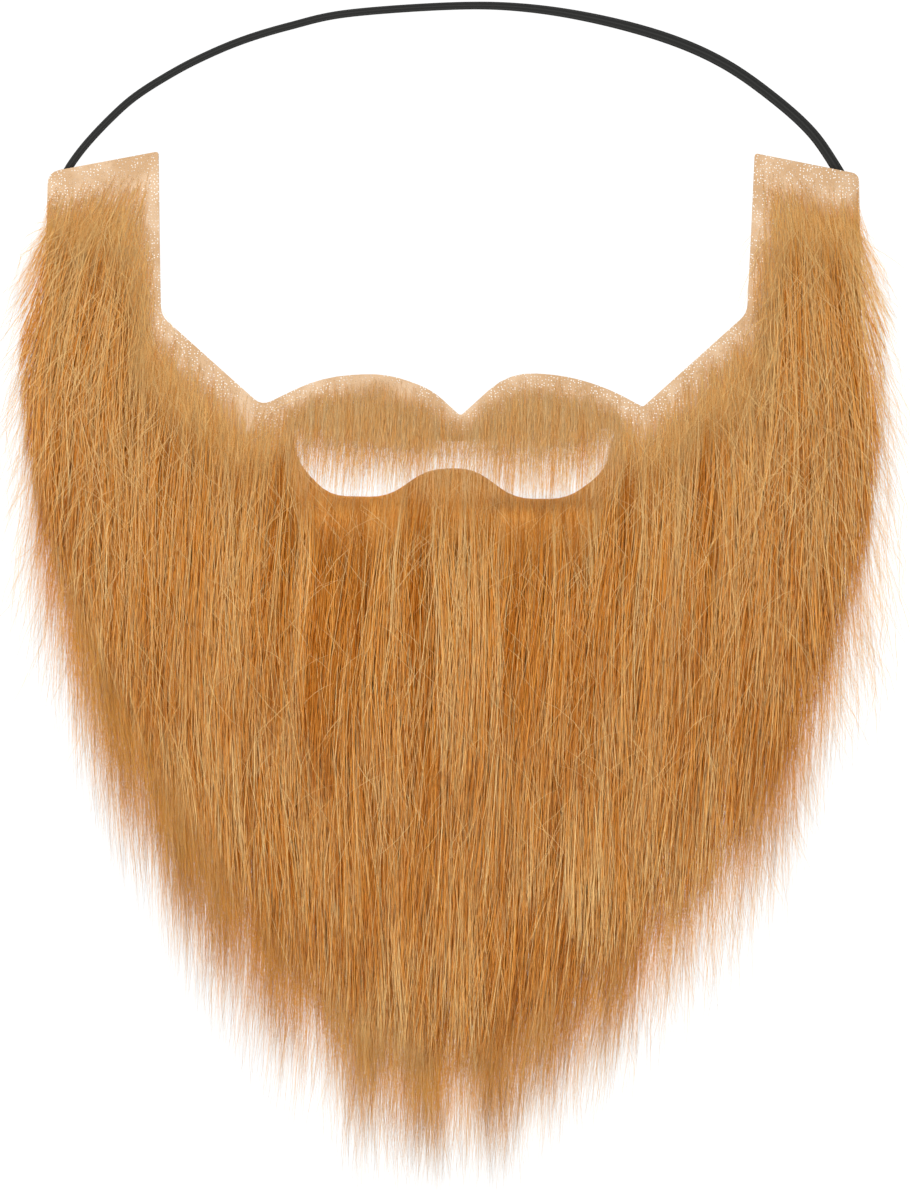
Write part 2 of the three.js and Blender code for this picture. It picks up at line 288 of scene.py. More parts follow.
def rim_of(node):
    """Edges round the upper face of a solid, as pairs of places in plan."""
    mesh = node.data
    mesh.calc_loop_triangles()
    points = np.empty(3 * len(mesh.vertices))
    mesh.vertices.foreach_get("co", points)
    corners = np.empty(3 * len(mesh.loop_triangles), int)
    mesh.loop_triangles.foreach_get("vertices", corners)
    triangles = points.reshape(-1, 3)[corners].reshape(-1, 3, 3)
    normals = np.cross(triangles[:, 1] - triangles[:, 0], triangles[:, 2] - triangles[:, 0])
    upper = triangles[normals[:, 2] > FACING_UP * np.linalg.norm(normals, axis=1)][:, :, :2]
    places, ids = np.unique(np.round(upper.reshape(-1, 2), PLACE_DECIMALS), axis=0,
                            return_inverse=True)
    pairs = np.sort(ids.reshape(-1, 3)[:, [0, 1, 1, 2, 2, 0]].reshape(-1, 2), axis=1)
    edges, used = np.unique(pairs, axis=0, return_counts=True)
    return places[edges[used == 1]]


def inside(x, y, edges):
    """Whether each place is inside the loops that the edges make."""
    x, y = x[:, None], y[:, None]
    (x0, y0), (x1, y1) = edges[:, 0].T, edges[:, 1].T
    rise = np.where(y1 == y0, 1.0, y1 - y0)
    crossed = ((y0 > y) != (y1 > y)) & (x < x0 + (y - y0) * (x1 - x0) / rise)
    return crossed.sum(axis=1) % 2 == 1


def distance(x, y, edges):
    """Distance of each place to the nearest edge."""
    place = np.stack([x, y], axis=1)[:, None]
    start, way = edges[:, 0], edges[:, 1] - edges[:, 0]
    share = ((place - start) * way).sum(-1) / np.maximum((way**2).sum(-1), SHORTEST_EDGE**2)
    nearest = start + np.clip(share, 0, 1)[..., None] * way
    return np.sqrt(((place - nearest)**2).sum(-1)).min(axis=1)


MOUTH_BOX = {"half_width": 58 * MM, "low": 54 * MM, "high": 81 * MM}

rim = rim_of(solid_cloth)
in_mouth = ((np.abs(rim[..., 0]) < MOUTH_BOX["half_width"])
            & (rim[..., 1] > MOUTH_BOX["low"]) & (rim[..., 1] < MOUTH_BOX["high"])).all(axis=1)
mouth_rim, outer_rim = rim[in_mouth], rim[~in_mouth]


def enclosed_area(edges, spacing=1.0 * MM):
    low, high = edges.reshape(-1, 2).min(0), edges.reshape(-1, 2).max(0)
    x, y = np.meshgrid(np.arange(low[0], high[0], spacing), np.arange(low[1], high[1], spacing))
    return inside(x.ravel(), y.ravel(), edges).sum() * spacing**2


cloth_area = float(enclosed_area(rim))
cloth_low, cloth_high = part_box("backing_cloth")
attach(cloth, "root")
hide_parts("backing_cloth")
print(f"cut: {len(outer_rim)} outer edges, {len(mouth_rim)} round the mouth, "
      f"{cloth_area / SQUARE_CM:.0f} square cm")

# %% [markdown]
# ## Maps of the plan
# Every strand asks the same things hundreds of thousands of times: how far it is past the cloth, how
# far from the ends of the fringe, and which way the hair lies. These are worked out once on a grid of
# one millimetre and then read between its places.

# %% Maps of the plan
MAP_STEP = 1.0 * MM
MAP_LOW = np.array([-0.17, -0.2])
MAP_HIGH = np.array([0.17, 0.19])
MAP_PARTS = 16
LAST_CELL = 1.001

map_x = np.arange(MAP_LOW[0], MAP_HIGH[0] + MAP_STEP / 2, MAP_STEP)
map_y = np.arange(MAP_LOW[1], MAP_HIGH[1] + MAP_STEP / 2, MAP_STEP)
grid_x, grid_y = (axis.ravel() for axis in np.meshgrid(map_x, map_y))


def signed_depth(edges):
    """A map of the distance to the edges, positive inside their loops."""
    rows = np.array_split(np.arange(len(grid_x)), MAP_PARTS)
    depth = [distance(grid_x[part], grid_y[part], edges)
             * np.where(inside(grid_x[part], grid_y[part], edges), 1, -1) for part in rows]
    return np.concatenate(depth).reshape(len(map_y), len(map_x))


def read(values, x, y):
    """A map's value at any places, between the places of its grid."""
    u = np.clip((x - MAP_LOW[0]) / MAP_STEP, 0, len(map_x) - LAST_CELL)
    v = np.clip((y - MAP_LOW[1]) / MAP_STEP, 0, len(map_y) - LAST_CELL)
    i, j = u.astype(int), v.astype(int)
    u, v = u - i, v - j
    lower = values[j, i] * (1 - u) + values[j, i + 1] * u
    upper = values[j + 1, i] * (1 - u) + values[j + 1, i + 1] * u
    return lower * (1 - v) + upper * v


cloth_depth = signed_depth(rim)
print(f"map of the cloth: {cloth_depth.shape[1]} by {cloth_depth.shape[0]}, "
      f"deepest {cloth_depth.max() / MM:.0f} mm")

# %% [markdown]
# ## Where the hair ends
# The lower edge of a false beard isn't cut straight: the ends thin out over a few centimetres and hang
# in uneven tufts. One line runs where the hair is half as dense, from the left sideburn round the point
# to the right one, and each strand later stops above or below it.

# %% Line of the ends, in millimetres of the frame
END_LINE = [
    (-134.5, 163), (-137, 152), (-141.5, 135), (-145, 115), (-145.5, 95), (-145, 75), (-142.5, 55),
    (-139, 35), (-134, 18), (-127, 0), (-118, -19), (-108, -38), (-97.5, -57), (-84.5, -79),
    (-68, -104), (-51, -126), (-33, -142), (-15, -150), (-1.5, -153), (12, -151), (29, -142),
    (50, -130), (64, -112), (84, -96), (100, -72), (112.5, -50), (122.5, -28), (130, -7), (137, 14),
    (140, 35), (142.5, 55), (144, 85), (142.5, 115), (139, 135), (135.5, 154), (134.5, 163),
]
END_SPACING = 3 * MM
SIDE_STEEPNESS = 2.5
LOWEST = -178 * MM

ends = smooth_line(np.array(END_LINE) * MM, END_SPACING)
lower_ends = ends[ends[:, 0].argmin():ends[:, 0].argmax() + 1]


def above_ends(x, y):
    """How far each place is above the line of the ends, straight down; steeply less beside it."""
    beside = np.maximum(lower_ends[0, 0] - x, 0) + np.maximum(x - lower_ends[-1, 0], 0)
    return y - np.interp(x, *lower_ends.T) - SIDE_STEEPNESS * beside


print(f"line of the ends: {len(ends)} places, {len(lower_ends)} of them below")

# %% [markdown]
# ## How the hair lies
# Fur has a lie: all strands in one place point the same way. On the sideburns it leans outwards, in
# the middle it falls straight, and towards the point it gathers. The table gives the lean at some
# places, in degrees from straight down, and a smooth mean of the nearest rows fills the rest.

# %% Lie of the hair: x and y in millimetres of the frame, lean to +X in degrees
LIE = [
    (-115, 152, -17), (-128, 112, -13), (-100, 112, -13), (-135, 72, -4), (-110, 72, -2),
    (-75, 62, -6), (-125, 22, 0), (-80, 12, -2), (-100, -28, 4), (-60, -58, 3), (-40, 52, -3),
    (0, 12, -1), (0, -68, -1), (0, -148, -3), (40, 12, -4), (35, -118, -7), (70, -68, -6),
    (80, 12, -4), (100, -28, -4), (75, 72, -2), (125, 22, 2), (110, 92, 3), (140, 82, 4),
    (118, 152, 5), (135, 132, 9),
]
LIE_REACH = 12 * MM
LIE_FALLOFF = 3

lie = np.array(LIE, float)
away = np.hypot(grid_x[:, None] - lie[:, 0] * MM, grid_y[:, None] - lie[:, 1] * MM)
weight = 1 / (away + LIE_REACH)**LIE_FALLOFF
lean_map = np.radians((weight * lie[:, 2]).sum(1) / weight.sum(1)).reshape(cloth_depth.shape)
print(f"lean from {np.degrees(lean_map.min()):.0f} to {np.degrees(lean_map.max()):.0f} degrees")

# %% [markdown]
# ## Tufts
# Neighbouring strands stick together a little. The plan is divided into uneven upright cells, each with
# a middle and some traits of its own. A strand belongs to the cell whose middle is nearest and is drawn
# sideways to it on its way to the tip. Small cells make fine streaks, larger ones locks, and the
# largest the tufts in which the fringe hangs.

# %% Tufts
SEED = 20
MIDDLE_RANGE = (0.1, 0.9)

draw = np.random.default_rng(SEED)


class Tufts:
    """Uneven upright cells over the plan, each with a middle and two random traits."""

    def __init__(self, width, height):
        self.size = np.array([width, height])
        self.shape = tuple(np.ceil((MAP_HIGH - MAP_LOW) / self.size).astype(int) + 2)
        self.middles = (np.indices(self.shape).transpose(1, 2, 0)
                        + draw.uniform(*MIDDLE_RANGE, (*self.shape, 2)) - 1) * self.size + MAP_LOW
        self.traits = draw.standard_normal((*self.shape, 2))

    def nearest(self, x, y):
        """How far the nearest middle is to the side of each place, and its traits."""
        place = np.column_stack([x, y])
        cell = np.floor((place - MAP_LOW) / self.size).astype(int) + 1
        best = np.full(len(place), np.inf)
        aside, traits = np.zeros(len(place)), np.zeros((len(place), 2))
        for step in np.ndindex(3, 3):
            i, j = np.clip(cell + step - 1, 0, np.array(self.shape) - 1).T
            away = (self.middles[i, j] - place) / self.size
            closer = (away**2).sum(1) < best
            best[closer] = (away**2).sum(1)[closer]
            aside[closer] = (away[:, 0] * self.size[0])[closer]
            traits[closer] = self.traits[i, j][closer]
        return aside, traits

    def ridge(self, aside):
        """1 on the line through a cell's middle, and less towards its sides."""
        return np.clip(1 - (2 * aside / self.size[0])**2, -1, 1)


streaks = Tufts(width=1.8 * MM, height=10 * MM)
locks = Tufts(width=6.5 * MM, height=30 * MM)
tufts = Tufts(width=17 * MM, height=60 * MM)
print("cells:", [cells.traits[..., 0].size for cells in (streaks, locks, tufts)])

# %% [markdown]
# ## One strand
# A strand is a thin closed tube with three sides that tapers to a point. Thousands of them are worked
# out side by side: comb() follows the lie from each root, settle() puts each place at its height in
# the pile, and strand_mesh() builds the tubes. Strands that come from further up lie on top of those
# that grow lower down, as shingles do.

# %% Comb and settle
COMB_STEPS = 16
PILE = 6.5 * MM
HAIR_LENGTH = 80 * MM
FLOOR_CLEARANCE = 0.18 * MM
CLOTH_TOP = 1.2 * MM
ARM_RISE = {"from": 117.8 * MM, "to": 141.8 * MM, "lift": 2.2 * MM}
EDGE_DROP = 7 * MM
EDGE_ROUND = 1.5
SWAY_ALONE = 1.2
WAVES = 1.2
PULL_POWER = 1.3
LAYER = {"sag": 1.1, "most": 1.1, "power": 0.85}


def comb(x, y, length, turn, wave, pull, sway=0.0):
    """Places along each strand in plan, from its root, as strands by steps by two."""
    places = [np.column_stack([x, y])]
    phase = sway + draw.uniform(-SWAY_ALONE, SWAY_ALONE, len(x))
    for step in range(COMB_STEPS):
        at = places[-1]
        lean = read(lean_map, at[:, 0], at[:, 1]) + turn
        lean = lean + wave * np.sin(phase + 2 * np.pi * WAVES * step / COMB_STEPS)
        way = np.column_stack([np.sin(lean), -np.cos(lean)])
        places.append(at + way * (length / COMB_STEPS)[:, None])
    places = np.stack(places, axis=1)
    share = np.linspace(0, 1, COMB_STEPS + 1)**PULL_POWER
    for cells, strength in pull:
        aside, _ = cells.nearest(x, y)
        places[..., 0] += (strength * aside)[:, None] * share
    return places


def shorten(places, reach):
    """The share of each strand that stays before the line of the ends, moved out by its reach."""
    past = (above_ends(places[..., 0], places[..., 1]) < -reach[:, None]) | (places[..., 1] < LOWEST)
    first = np.where(past.any(axis=1), past.argmax(axis=1), COMB_STEPS)
    return (first - draw.uniform(0, 1, len(first)) * (first < COMB_STEPS)) / COMB_STEPS


def resample(places, shares):
    """Places at the given shares of each strand."""
    stops = np.clip(shares, 0, 1) * COMB_STEPS
    i = np.minimum(stops.astype(int), COMB_STEPS - 1)
    part = (stops - i)[..., None]
    rows = np.arange(len(places))[:, None]
    return places[rows, i] * (1 - part) + places[rows, i + 1] * part


def ground_height(x, y):
    """Height of what the hair lies on: the cloth, and the floor beyond it."""
    rise = np.clip((y - ARM_RISE["from"]) / (ARM_RISE["to"] - ARM_RISE["from"]), 0, 1)
    top = CLOTH_TOP + ARM_RISE["lift"] * rise
    outside = np.clip(-read(cloth_depth, x, y), 0, None)
    return top * np.clip(1 - outside / EDGE_DROP, 0, 1)**EDGE_ROUND + FLOOR_CLEARANCE


def settle(places, walked, lift, pile=PILE):
    """Adds the height of each place in the pile, from how far the strand has come from its root."""
    x, y = places[..., 0], places[..., 1]
    outside = np.clip(-read(cloth_depth, x, y), 0, None)
    layer = np.clip((walked - LAYER["sag"] * outside) / HAIR_LENGTH, 0, LAYER["most"])
    height = ground_height(x, y) + pile * layer**LAYER["power"] + lift[:, None] * layer
    return np.concatenate([places, np.maximum(height, FLOOR_CLEARANCE)[..., None]], axis=-1)


# %% Strand mesh
SIDES = 3
TONE_WIDTH = 0.004


def strand_mesh(name, spine, radius, tone):
    """Closed tapering tubes along the spines, with each strand's tone and share of length mapped."""
    strands, rings = len(spine), spine.shape[1] - 1
    ways = np.diff(spine, axis=1)
    ways = np.concatenate([ways[:, :1], ways[:, :-1] + ways[:, 1:]], axis=1)
    ways /= np.linalg.norm(ways, axis=2, keepdims=True)
    sideways = np.cross(ways, (0.0, 0.0, 1.0))
    sideways /= np.linalg.norm(sideways, axis=2, keepdims=True)
    upwards = np.cross(sideways, ways)
    roll = draw.uniform(0, 2 * np.pi, (strands, 1, 1, 1))
    turn = roll + np.arange(SIDES)[:, None] * 2 * np.pi / SIDES
    offset = np.cos(turn) * sideways[:, :, None] + np.sin(turn) * upwards[:, :, None]
    tubes = spine[:, :rings, None] + radius[:, :, None, None] * offset
    points = np.concatenate([tubes.reshape(strands, -1, 3), spine[:, rings:]], axis=1)

    side = np.arange(SIDES)
    following = (side + 1) % SIDES
    quads = np.stack([side, side + SIDES, following + SIDES, following], axis=1)
    quads = quads[None] + SIDES * np.arange(rings - 1)[:, None, None]
    last, apex = SIDES * (rings - 1), SIDES * rings
    tip = np.stack([side + last, np.full(SIDES, apex), following + last], axis=1)
    corners = np.concatenate([quads.ravel(), tip.ravel(), side])
    sizes = np.concatenate([np.full(SIDES * (rings - 1), 4), np.full(SIDES + 1, 3)])
    every = (corners[None] + (apex + 1) * np.arange(strands)[:, None]).ravel()

    along = np.append(np.repeat(np.arange(rings), SIDES), rings) / rings
    beside = np.append(np.tile(side, rings), 1) / SIDES * TONE_WIDTH
    places = np.empty((strands, len(corners), 2))
    places[..., 0] = tone[:, None] * (1 - TONE_WIDTH) + beside[corners]
    places[..., 1] = along[corners]
    places = places.reshape(-1, 2)
    return object_from_lists(name, points.reshape(-1, 3), every, np.tile(sizes, strands),
                             {"strand": places, "OFBake": places})


# %% [markdown]
# ## Roots
# The pile starts a few millimetres below the upper edges, so a strip of bare knit shows there, and it
# thins out towards that strip. Each place is tried against the cut of the cloth at growing drops, which
# tells how far below the edge it is; near the edge fewer roots are kept.

# %% Roots
BORDER_DROPS = np.array([1, 2, 3, 4.5, 6, 8, 10, 13, 17]) * MM
BARE_SIDE_SHARE = 0.62
BARE_TOP = {"from": 132 * MM, "to": 148 * MM, "width": 4 * MM}
MOUTH_MARGIN = 0.6 * MM
RIM_MARGIN = 0.5 * MM
MOUSTACHE_AREA = {"half_width": 53 * MM, "low": 73.3 * MM, "high": 100 * MM}
ROOT_PARTS = 16
TONE_SPREAD = 0.18
TONE_RANGE = (0.02, 0.98)


def below_edge(x, y):
    """How far each place is below the upper edges, up to the largest drop; less beside the face."""
    below = np.zeros(len(x))
    still = np.ones(len(x), bool)
    for drop in BORDER_DROPS:
        still &= inside(x, y + drop, outer_rim)
        still &= inside(x - np.sign(x) * BARE_SIDE_SHARE * drop, y + drop, outer_rim)
        below[still] = drop
    return below


def roots(count, low, high, bare):
    """Random places on the cloth in a box, fewer near the upper edges, and how far below they are."""
    x = draw.uniform(low[0], high[0], count)
    y = draw.uniform(low[1], high[1], count)
    below = np.zeros(count)
    grown = np.zeros(count, bool)
    for part in np.array_split(np.arange(count), ROOT_PARTS):
        grown[part] = inside(x[part], y[part], rim)
        below[part] = below_edge(x[part], y[part])
    grown &= read(cloth_depth, x, y) > MOUTH_MARGIN
    below -= BARE_TOP["width"] * smooth_step(y, BARE_TOP["from"], BARE_TOP["to"])
    grown &= draw.random(count) < smooth_step(below, *bare)
    return x[grown], y[grown], below[grown]


def on_moustache(x, y):
    return (np.abs(x) < MOUSTACHE_AREA["half_width"]) & (y > MOUSTACHE_AREA["low"])


def tones(count, middle, *parts):
    """A tone from 0, dark, to 1, light, for each strand: its own, and shares of its tufts' traits."""
    tone = middle + TONE_SPREAD * draw.standard_normal(count)
    for weight, trait in parts:
        tone = tone + weight * trait
    return np.clip(tone, *TONE_RANGE)


def hair_piece(name, spine, radius, tone, node):
    piece = strand_mesh(name, spine, radius, tone)
    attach(piece, "root")
    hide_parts(node)
    return piece


# %% [markdown]
# ## Long hair
# The long pile grows on the whole cloth apart from the moustache, and a few more roots stand along the
# outer edges of the sideburns, where it is combed outwards. Some strands lie loosely on top and are
# lighter, as on a real pelt. They all end a little before or past the line of the ends, and those that
# come near it are finer.

# %% Beard roots
BEARD_TRIES = 41000
BEARD_BARE = (2.5 * MM, 17 * MM)
SEAM = 2.5 * MM
SIDE_HAIR = {"tries": 1400, "from": 112 * MM, "to": 138 * MM, "low": -10 * MM, "high": 158 * MM,
             "band": 8 * MM}

grown = [roots(BEARD_TRIES, cloth_low, cloth_high, BEARD_BARE)]
for side in (-1, 1):
    corners = np.sort([(side * SIDE_HAIR["from"], side * SIDE_HAIR["to"]),
                       (SIDE_HAIR["low"], SIDE_HAIR["high"])], axis=1).T
    x, y, below = roots(SIDE_HAIR["tries"], *corners, BEARD_BARE)
    edge = read(cloth_depth, x, y) < SIDE_HAIR["band"]
    grown.append((x[edge], y[edge], below[edge]))
outwards = np.repeat([0, -1, 1], [len(part[0]) for part in grown])
x, y, below = (np.concatenate(values) for values in zip(*grown))
away = ~on_moustache(x + SEAM * draw.standard_normal(len(x)), y)
x, y, below, outwards = x[away], y[away], below[away], outwards[away]
print(f"beard: {len(x)} roots")

# %% Beard combing, with turns in degrees and reach in millimetres
SHORTEST = 6 * MM
TOP_SHARE = 0.16
WAVE = (1, 8)
SLANT = (50 * MM, 95 * MM)
BEARD_LENGTH = {"own": 0.1, "lock": 0.05}
BEARD_TURN = {"own": 2.6, "side": 2.6, "side_from": 95 * MM, "side_to": 130 * MM, "top": 1.2,
              "lock": 1.8, "outwards": 14}
BEARD_PULL = {"streak": 0.5, "lock": 0.42, "top": 0.7, "sway": 2.5}
BEARD_REACH = {"middle": -18, "slant": -9, "tail": 7, "slant_tail": 6, "lock": 5, "range": (-48, 16)}

streak_aside, streak = streaks.nearest(x, y)
lock_aside, lock = locks.nearest(x, y)
ridge = np.column_stack([streaks.ridge(streak_aside), locks.ridge(lock_aside)])
length = HAIR_LENGTH * (1 + BEARD_LENGTH["own"] * draw.standard_normal(len(x))
                        + BEARD_LENGTH["lock"] * lock[:, 1])
top = draw.random(len(x)) < TOP_SHARE
beside = smooth_step(np.abs(x), BEARD_TURN["side_from"], BEARD_TURN["side_to"])
loose = (BEARD_TURN["own"] + BEARD_TURN["side"] * beside) * (1 + BEARD_TURN["top"] * top)
turn = np.radians(loose * draw.standard_normal(len(x)) + BEARD_TURN["lock"] * lock[:, 0])
turn = turn + np.radians(outwards * draw.uniform(0, BEARD_TURN["outwards"], len(x)))
wave = np.radians(draw.uniform(*WAVE, len(x)))
held = 1 - BEARD_PULL["top"] * top
pull = [(streaks, BEARD_PULL["streak"] * held), (locks, BEARD_PULL["lock"] * held)]
places = comb(x, y, length, turn, wave, pull, BEARD_PULL["sway"] * lock[:, 1])
slant = smooth_step(np.abs(x), *SLANT)
tail = draw.exponential(BEARD_REACH["tail"] + BEARD_REACH["slant_tail"] * slant)
reach = BEARD_REACH["middle"] + BEARD_REACH["slant"] * slant + tail + BEARD_REACH["lock"] * lock[:, 1]
share = shorten(places, MM * np.clip(reach, *BEARD_REACH["range"]))
kept = share * length > SHORTEST
places, share, length, below, top = (values[kept] for values in (places, share, length, below, top))
streak, lock, ridge = streak[kept], lock[kept], ridge[kept]
print(f"beard: {len(places)} strands, up to {(share * length).max() / MM:.0f} mm long")

# %% Beard strands, with lifts and radii in millimetres
BLUNT = {"stops": np.array([0, 0.3, 0.65, 0.93, 1]), "taper": np.array([0.4, 1, 1, 0.85])}
FINE = {"stops": np.array([0, 0.28, 0.55, 0.8, 1]), "taper": np.array([0.4, 1, 0.75, 0.35])}
FINE_ABOVE = 26 * MM
BORDER = (1 * MM, 17 * MM)
SIDEBURN = (110 * MM, 150 * MM)
LOW_PART = (-20 * MM, 50 * MM)
BEARD_LIFT = {"own": 0.9, "streak": 0.4, "lock": 0.7, "top": 2, "ridges": (0.4, 1.3)}
BEARD_RADIUS = {"range": (0.08, 0.16), "border": 0.4, "top": 0.35, "fine": 0.35}
# The ridge share of the tone is painted shade: strands at the sides of each lock are darker and its
# middle lighter, as a rounded lock would be lit.
BEARD_TONE = {"middle": 0.5, "streak": 0.16, "lock": 0.13, "low": 0.3, "ridge": 0.06, "border": 0.3,
              "top": 0.22, "fine": 0.15, "sideburn": 0.04}
BEARD_PIECES = ("far_left", "left", "middle", "right", "far_right")

tip = resample(places, share[:, None])[:, 0]
fine = 1 - smooth_step(above_ends(*tip.T), 0, FINE_ABOVE)[:, None]
stops = BLUNT["stops"] * (1 - fine) + FINE["stops"] * fine
taper = BLUNT["taper"] * (1 - fine) + FINE["taper"] * fine
spine = resample(places, share[:, None] * stops)
lift = (BEARD_LIFT["own"] * draw.standard_normal(len(spine)) + BEARD_LIFT["streak"] * streak[:, 1]
        + BEARD_LIFT["lock"] * lock[:, 1] + BEARD_LIFT["top"] * top + ridge @ BEARD_LIFT["ridges"])
spine = settle(spine, (share * length)[:, None] * stops, MM * lift)
border = smooth_step(below, *BORDER)
thick = MM * draw.uniform(*BEARD_RADIUS["range"], len(spine))
thick = thick * (BEARD_RADIUS["border"] + (1 - BEARD_RADIUS["border"]) * border)
thick = thick * (1 - BEARD_RADIUS["top"] * top)
radius = thick[:, None] * taper * (1 - BEARD_RADIUS["fine"] * fine)
root_y = spine[:, 0, 1]
low = 1 + BEARD_TONE["low"] * smooth_step(-root_y, *LOW_PART)
# The ridge share below paints shade into the tone: darker at the sides of each lock, lighter on its
# middle.
tone = tones(len(spine), BEARD_TONE["middle"], (BEARD_TONE["streak"] * low, streak[:, 0]),
             (BEARD_TONE["lock"] * low, lock[:, 0]), (BEARD_TONE["ridge"], ridge[:, 1]),
             (BEARD_TONE["border"], 1 - border), (BEARD_TONE["top"], top),
             (BEARD_TONE["fine"], fine[:, 0]), (BEARD_TONE["sideburn"], smooth_step(root_y, *SIDEBURN)))

beard_pieces = []
for name, part in zip(BEARD_PIECES, np.array_split(np.argsort(spine[:, 0, 0]), len(BEARD_PIECES))):
    beard_pieces.append(hair_piece(f"beard_hair_{name}", spine[part], radius[part], tone[part],
                                   "beard_fur"))
print(f"beard: {len(spine)} strands, {[triangle_count(piece) for piece in beard_pieces]} triangles")

# %% [markdown]
# ## Fringe
# Towards its lower edge the beard gets thin enough to see through. That takes many very fine strands
# that end at all heights, in tufts that hang lower or less low. They start in the lower part of the
# cloth, under the long hair, and reach past the line of the ends.

# %% Fringe strands, with turns in degrees, reach, lift and radii in millimetres
FRINGE_TRIES = 186000
FRINGE_ABOVE = 80 * MM
FRINGE_LENGTH = (1, 1.45)
FRINGE_TURN = {"own": 3.2, "lock": 1.8, "tuft": 2}
FRINGE_PULL = {"streak": 0.4, "lock": 0.3, "tuft": 0.12, "sway": 2}
FRINGE_REACH = {"middle": 3, "long_share": 0.42, "long": 20, "slant_long": 12, "own": 9, "slant_own": 4,
                "lock": 3, "tuft": 4, "range": (-40, 42)}
FRINGE_LIFT = (-1, 1)
FRINGE_RADIUS = (0.022, 0.039)
FRINGE_TONE = {"middle": 0.6, "lock": 0.1}
FRINGE_STOPS = np.array([0, 0.68, 1])
FRINGE_TAPER = np.array([0.8, 1])

x, y, _ = roots(FRINGE_TRIES, cloth_low, cloth_high, BEARD_BARE)
low_down = (above_ends(x, y) < FRINGE_ABOVE) & ~on_moustache(x, y)
x, y = x[low_down], y[low_down]
_, tuft = tufts.nearest(x, y)
_, lock = locks.nearest(x, y)
length = HAIR_LENGTH * draw.uniform(*FRINGE_LENGTH, len(x))
turn = np.radians(FRINGE_TURN["own"] * draw.standard_normal(len(x)) + FRINGE_TURN["lock"] * lock[:, 0]
                  + FRINGE_TURN["tuft"] * tuft[:, 0])
wave = np.radians(draw.uniform(*WAVE, len(x)))
pull = [(streaks, FRINGE_PULL["streak"]), (locks, FRINGE_PULL["lock"]), (tufts, FRINGE_PULL["tuft"])]
places = comb(x, y, length, turn, wave, pull, FRINGE_PULL["sway"] * lock[:, 1])
slant = smooth_step(np.abs(x), *SLANT)
longer = draw.random(len(x)) < FRINGE_REACH["long_share"]
tail = longer * draw.exponential(FRINGE_REACH["long"] + FRINGE_REACH["slant_long"] * slant)
own = (FRINGE_REACH["own"] + FRINGE_REACH["slant_own"] * slant) * draw.standard_normal(len(x))
reach = (FRINGE_REACH["middle"] + tail + own + FRINGE_REACH["lock"] * lock[:, 1]
         + FRINGE_REACH["tuft"] * tuft[:, 1])
share = shorten(places, MM * np.clip(reach, *FRINGE_REACH["range"]))
stops = np.tile(FRINGE_STOPS, (len(x), 1))
spine = resample(places, share[:, None] * stops)
lift = MM * draw.uniform(*FRINGE_LIFT, len(x))
spine = settle(spine, (share * length)[:, None] * stops, lift)
radius = MM * draw.uniform(*FRINGE_RADIUS, len(x))[:, None] * FRINGE_TAPER
tone = tones(len(x), FRINGE_TONE["middle"], (FRINGE_TONE["lock"], lock[:, 0]))
fringe_hair = hair_piece("fringe_hair", spine, radius, tone, "beard_fur")
print(f"fringe: {len(x)} strands, {triangle_count(fringe_hair)} triangles")

# %% [markdown]
# ## Short hair at the borders
# Where the fur was cut, short ends are left: a fine fuzz that half covers the bare knit under the upper
# edges, and a dense row right below the window for the mouth. They are thinner and lighter than the
# long hair and lie flat on the cloth.

# %% Short hair at the borders, with lengths, lifts and radii in millimetres
FUZZ_TRIES = 74000
FUZZ_BARE = (-2 * MM, 9 * MM)
FUZZ_BELOW = 16 * MM
FUZZ_LENGTH = (6, 26)
FUZZ_TURN = np.radians(9)
FUZZ_PULL = 0.2
FUZZ_LIFT = (0, 1)
FUZZ_RADIUS = (0.035, 0.065)
FUZZ_TONE = 0.82
FUZZ_STOPS = np.array([0, 0.5, 1])
FUZZ_TAPER = np.array([0.6, 0.9])
RIM_TRIES = 7000
RIM_DEPTH = 0.9 * MM
RIM_LONGER = 1.7
RIM_TONE = 0.55
SHORT_PILE = 1.6 * MM

x, y, below = roots(FUZZ_TRIES, (cloth_low.x, MOUSTACHE_AREA["low"]), cloth_high, FUZZ_BARE)
fuzz = below < FUZZ_BELOW
x, y = x[fuzz], y[fuzz]
edge = mouth_rim[draw.integers(0, len(mouth_rim), RIM_TRIES)]
along = draw.random((RIM_TRIES, 1))
rim_x, rim_y = (edge[:, 0] * (1 - along) + edge[:, 1] * along).T
rim_y = rim_y - RIM_MARGIN - draw.exponential(RIM_DEPTH, RIM_TRIES)
under = inside(rim_x, rim_y, rim) & ~on_moustache(rim_x, rim_y)
x, y = np.append(x, rim_x[under]), np.append(y, rim_y[under])
at_mouth = np.arange(len(x)) >= fuzz.sum()
length = MM * draw.uniform(*FUZZ_LENGTH, len(x)) * np.where(at_mouth, RIM_LONGER, 1)
turn = FUZZ_TURN * draw.standard_normal(len(x))
places = comb(x, y, length, turn, np.radians(draw.uniform(*WAVE, len(x))), [(streaks, FUZZ_PULL)])
stops = np.tile(FUZZ_STOPS, (len(x), 1))
lift = MM * draw.uniform(*FUZZ_LIFT, len(x))
spine = settle(resample(places, stops), length[:, None] * stops, lift, SHORT_PILE)
radius = MM * draw.uniform(*FUZZ_RADIUS, len(x))[:, None] * FUZZ_TAPER
tone = tones(len(x), np.where(at_mouth, RIM_TONE, FUZZ_TONE))
border_hair = hair_piece("border_hair", spine, radius, tone, "beard_fur")
print(f"borders: {fuzz.sum()} fuzz, {under.sum()} at the mouth, {triangle_count(border_hair)} triangles")

# %% [markdown]
# ## Moustache
# The moustache has shorter hair. It grows on the two lobes above the mouth and hangs over the window,
# where it thins out until the floor shows through; the right lobe hangs a little lower.

